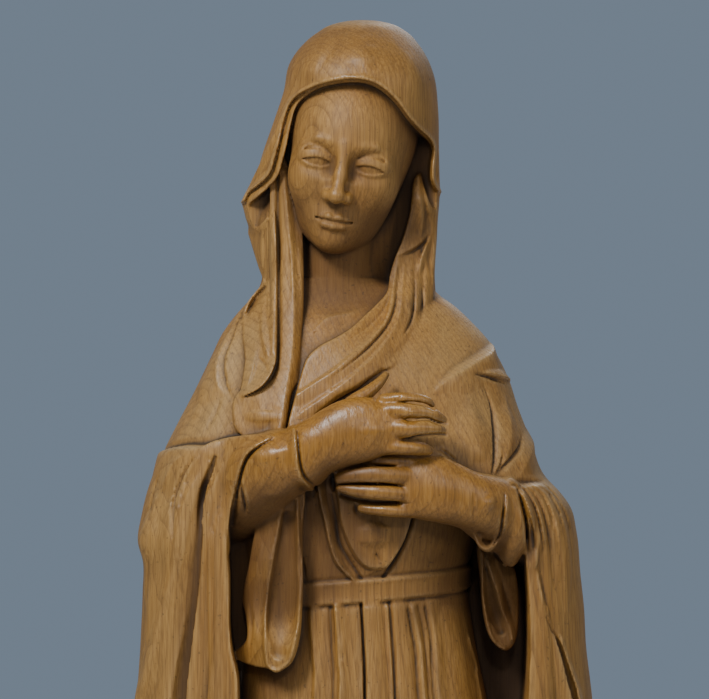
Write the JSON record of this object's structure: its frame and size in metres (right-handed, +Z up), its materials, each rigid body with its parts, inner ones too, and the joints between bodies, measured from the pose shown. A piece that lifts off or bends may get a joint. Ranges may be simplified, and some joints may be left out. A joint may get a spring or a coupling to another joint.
{
  "type": "carved wooden madonna statue",
  "caption": "Carved wooden figure of a veiled woman with her hands laid on her breast, in a long mantle, standing on a low base cut from the same block.",
  "frame": {"origin": "centre of the base's flat underside", "axes": "+Z up through the figure, which faces -Y; +X is to the right of someone looking at its face"},
  "size_m": [0.19, 0.132, 0.62],
  "materials": {
    "waxed_wood": "hand-carved, stained warm brown and waxed to a soft sheen"
  },
  "bodies": {
    "root": {"carved_madonna": "waxed_wood"}
  },
  "joints": []
}
